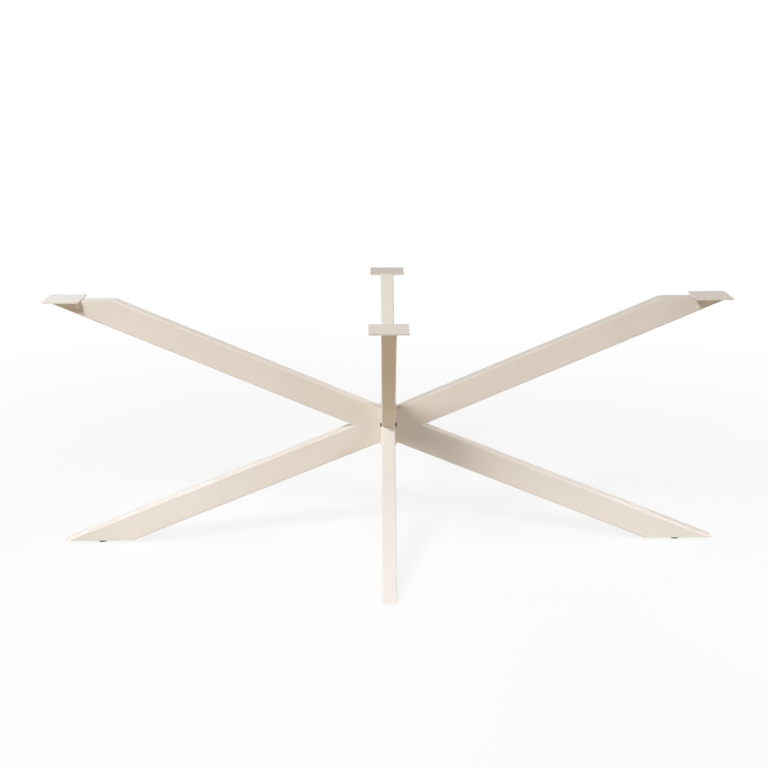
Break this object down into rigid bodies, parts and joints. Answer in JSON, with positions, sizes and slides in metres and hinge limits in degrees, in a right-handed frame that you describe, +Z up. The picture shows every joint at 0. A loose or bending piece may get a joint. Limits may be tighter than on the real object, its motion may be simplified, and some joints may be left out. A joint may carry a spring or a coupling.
{
  "type": "matrix table leg",
  "caption": "Crossed steel table base: tube arms meet at a bolted crossing, with mounting plates under the top and levelling glides under the feet.",
  "frame": {"origin": "on the floor, under the middle of the crossing", "axes": "+X along the long halves, +Y along the short halves towards the rear, +Z up"},
  "size_m": [1.87, 0.84, 0.72],
  "materials": {
    "frame_paint": "fine-textured matt cream powder coat",
    "black_screw": "black oxide, slightly oily",
    "zinc_steel": "bright zinc plating",
    "glide_plastic": "moulded black nylon"
  },
  "bodies": {
    "base": {"upper_arm_right": "frame_paint", "upper_arm_left": "frame_paint", "upper_arm_rear": "frame_paint", "upper_arm_front": "frame_paint", "lower_arm_right": "frame_paint", "lower_arm_left": "frame_paint", "lower_arm_rear": "frame_paint", "lower_arm_front": "frame_paint", "mounting_plate_right": "frame_paint", "mounting_plate_left": "frame_paint", "mounting_plate_rear": "frame_paint", "mounting_plate_front": "frame_paint", "top_insert_right": "frame_paint", "top_insert_left": "frame_paint", "top_insert_rear": "frame_paint", "top_insert_front": "frame_paint", "foot_insert_right": "frame_paint", "foot_insert_left": "frame_paint", "foot_insert_rear": "frame_paint", "foot_insert_front": "frame_paint", "root_flange_right": "frame_paint", "joint_screws_right": "black_screw", "root_flange_left": "frame_paint", "joint_screws_left": "black_screw", "post_bushes": "zinc_steel", "foot_nut_right": "zinc_steel", "foot_nut_left": "zinc_steel", "foot_nut_rear": "zinc_steel", "foot_nut_front": "zinc_steel"},
    "glide_right": {"glide_stud_right": "zinc_steel", "glide_pad_right": "glide_plastic"},
    "glide_left": {"glide_stud_left": "zinc_steel", "glide_pad_left": "glide_plastic"},
    "glide_rear": {"glide_stud_rear": "zinc_steel", "glide_pad_rear": "glide_plastic"},
    "glide_front": {"glide_stud_front": "zinc_steel", "glide_pad_front": "glide_plastic"}
  },
  "joints": [
    {"name": "level_right", "type": "slide", "parent": "base", "child": "glide_right", "axis": [0, 0, -1], "range_m": [0, 0.015]},
    {"name": "level_left", "type": "slide", "parent": "base", "child": "glide_left", "axis": [0, 0, -1], "range_m": [0, 0.015]},
    {"name": "level_rear", "type": "slide", "parent": "base", "child": "glide_rear", "axis": [0, 0, -1], "range_m": [0, 0.015]},
    {"name": "level_front", "type": "slide", "parent": "base", "child": "glide_front", "axis": [0, 0, -1], "range_m": [0, 0.015]}
  ]
}
